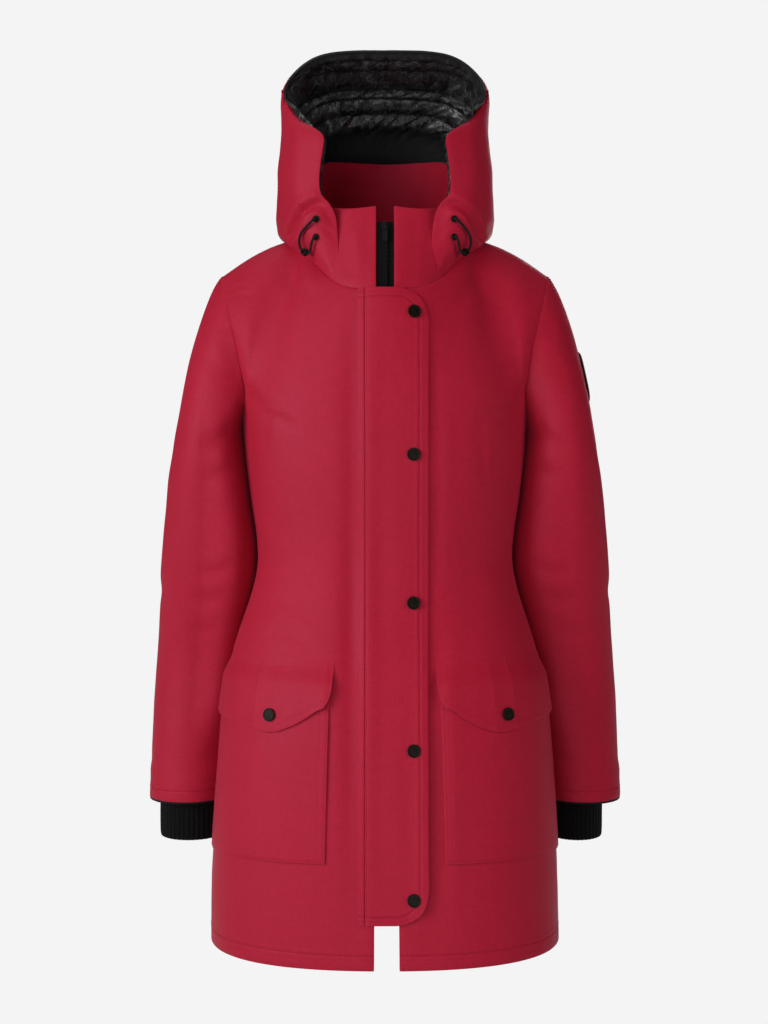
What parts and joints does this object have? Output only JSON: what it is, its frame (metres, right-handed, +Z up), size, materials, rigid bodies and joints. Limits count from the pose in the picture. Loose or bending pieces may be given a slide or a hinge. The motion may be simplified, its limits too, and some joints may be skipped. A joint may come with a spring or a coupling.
{
  "type": "down parka",
  "caption": "Long women's hooded down parka, filled out as worn, with storm flap, snap pockets, rib-knit cuffs and quilted hood lining.",
  "frame": {"origin": "the base of the wearer's neck, between the shoulders that hold the parka up", "axes": "+Z up, -Y to the front, +X to the wearer's left"},
  "size_m": [0.612, 0.2975, 1.0811],
  "materials": {
    "shell_fabric": "matt tight weave",
    "lining_nylon": "glossy quilted",
    "rib_knit": "rib knit",
    "snap_metal": "satin",
    "black_tape": "woven tape",
    "black_cord": "braided",
    "patch_cloth": "twill"
  },
  "bodies": {
    "parka": {"front_right": "shell_fabric", "front_left": "shell_fabric", "back": "shell_fabric", "collar": "shell_fabric", "sleeve_right": "shell_fabric", "sleeve_left": "shell_fabric", "hood_side_right": "shell_fabric", "hood_side_left": "shell_fabric", "hood_centre": "shell_fabric", "hood_lining": "lining_nylon", "storm_flap": "shell_fabric", "pocket_right": "shell_fabric", "pocket_left": "shell_fabric", "pocket_flap_right": "shell_fabric", "pocket_flap_left": "shell_fabric", "snap_1": "snap_metal", "snap_2": "snap_metal", "snap_3": "snap_metal", "snap_4": "snap_metal", "snap_5": "snap_metal", "pocket_snap_right": "snap_metal", "pocket_snap_left": "snap_metal", "knit_cuff_right": "rib_knit", "knit_cuff_left": "rib_knit", "cuff_facing_right": "black_tape", "cuff_facing_left": "black_tape", "zip_tape": "black_tape", "zip_chain": "black_tape", "zip_slider": "snap_metal", "drawcord_right": "black_cord", "drawcord_left": "black_cord", "cord_bead_right": "snap_metal", "cord_bead_left": "snap_metal", "eyelet_right_1": "snap_metal", "eyelet_right_2": "snap_metal", "eyelet_left_1": "snap_metal", "eyelet_left_2": "snap_metal", "sleeve_patch": "patch_cloth"},
    "pull_tab": {"zip_pull": "snap_metal"}
  },
  "joints": [
    {"name": "pull_tab_swing", "type": "hinge", "parent": "parka", "child": "pull_tab", "pos_m": [0, -0.10358, 0.00512], "axis": [-1, 0, 0], "range_deg": [0, 110]}
  ]
}
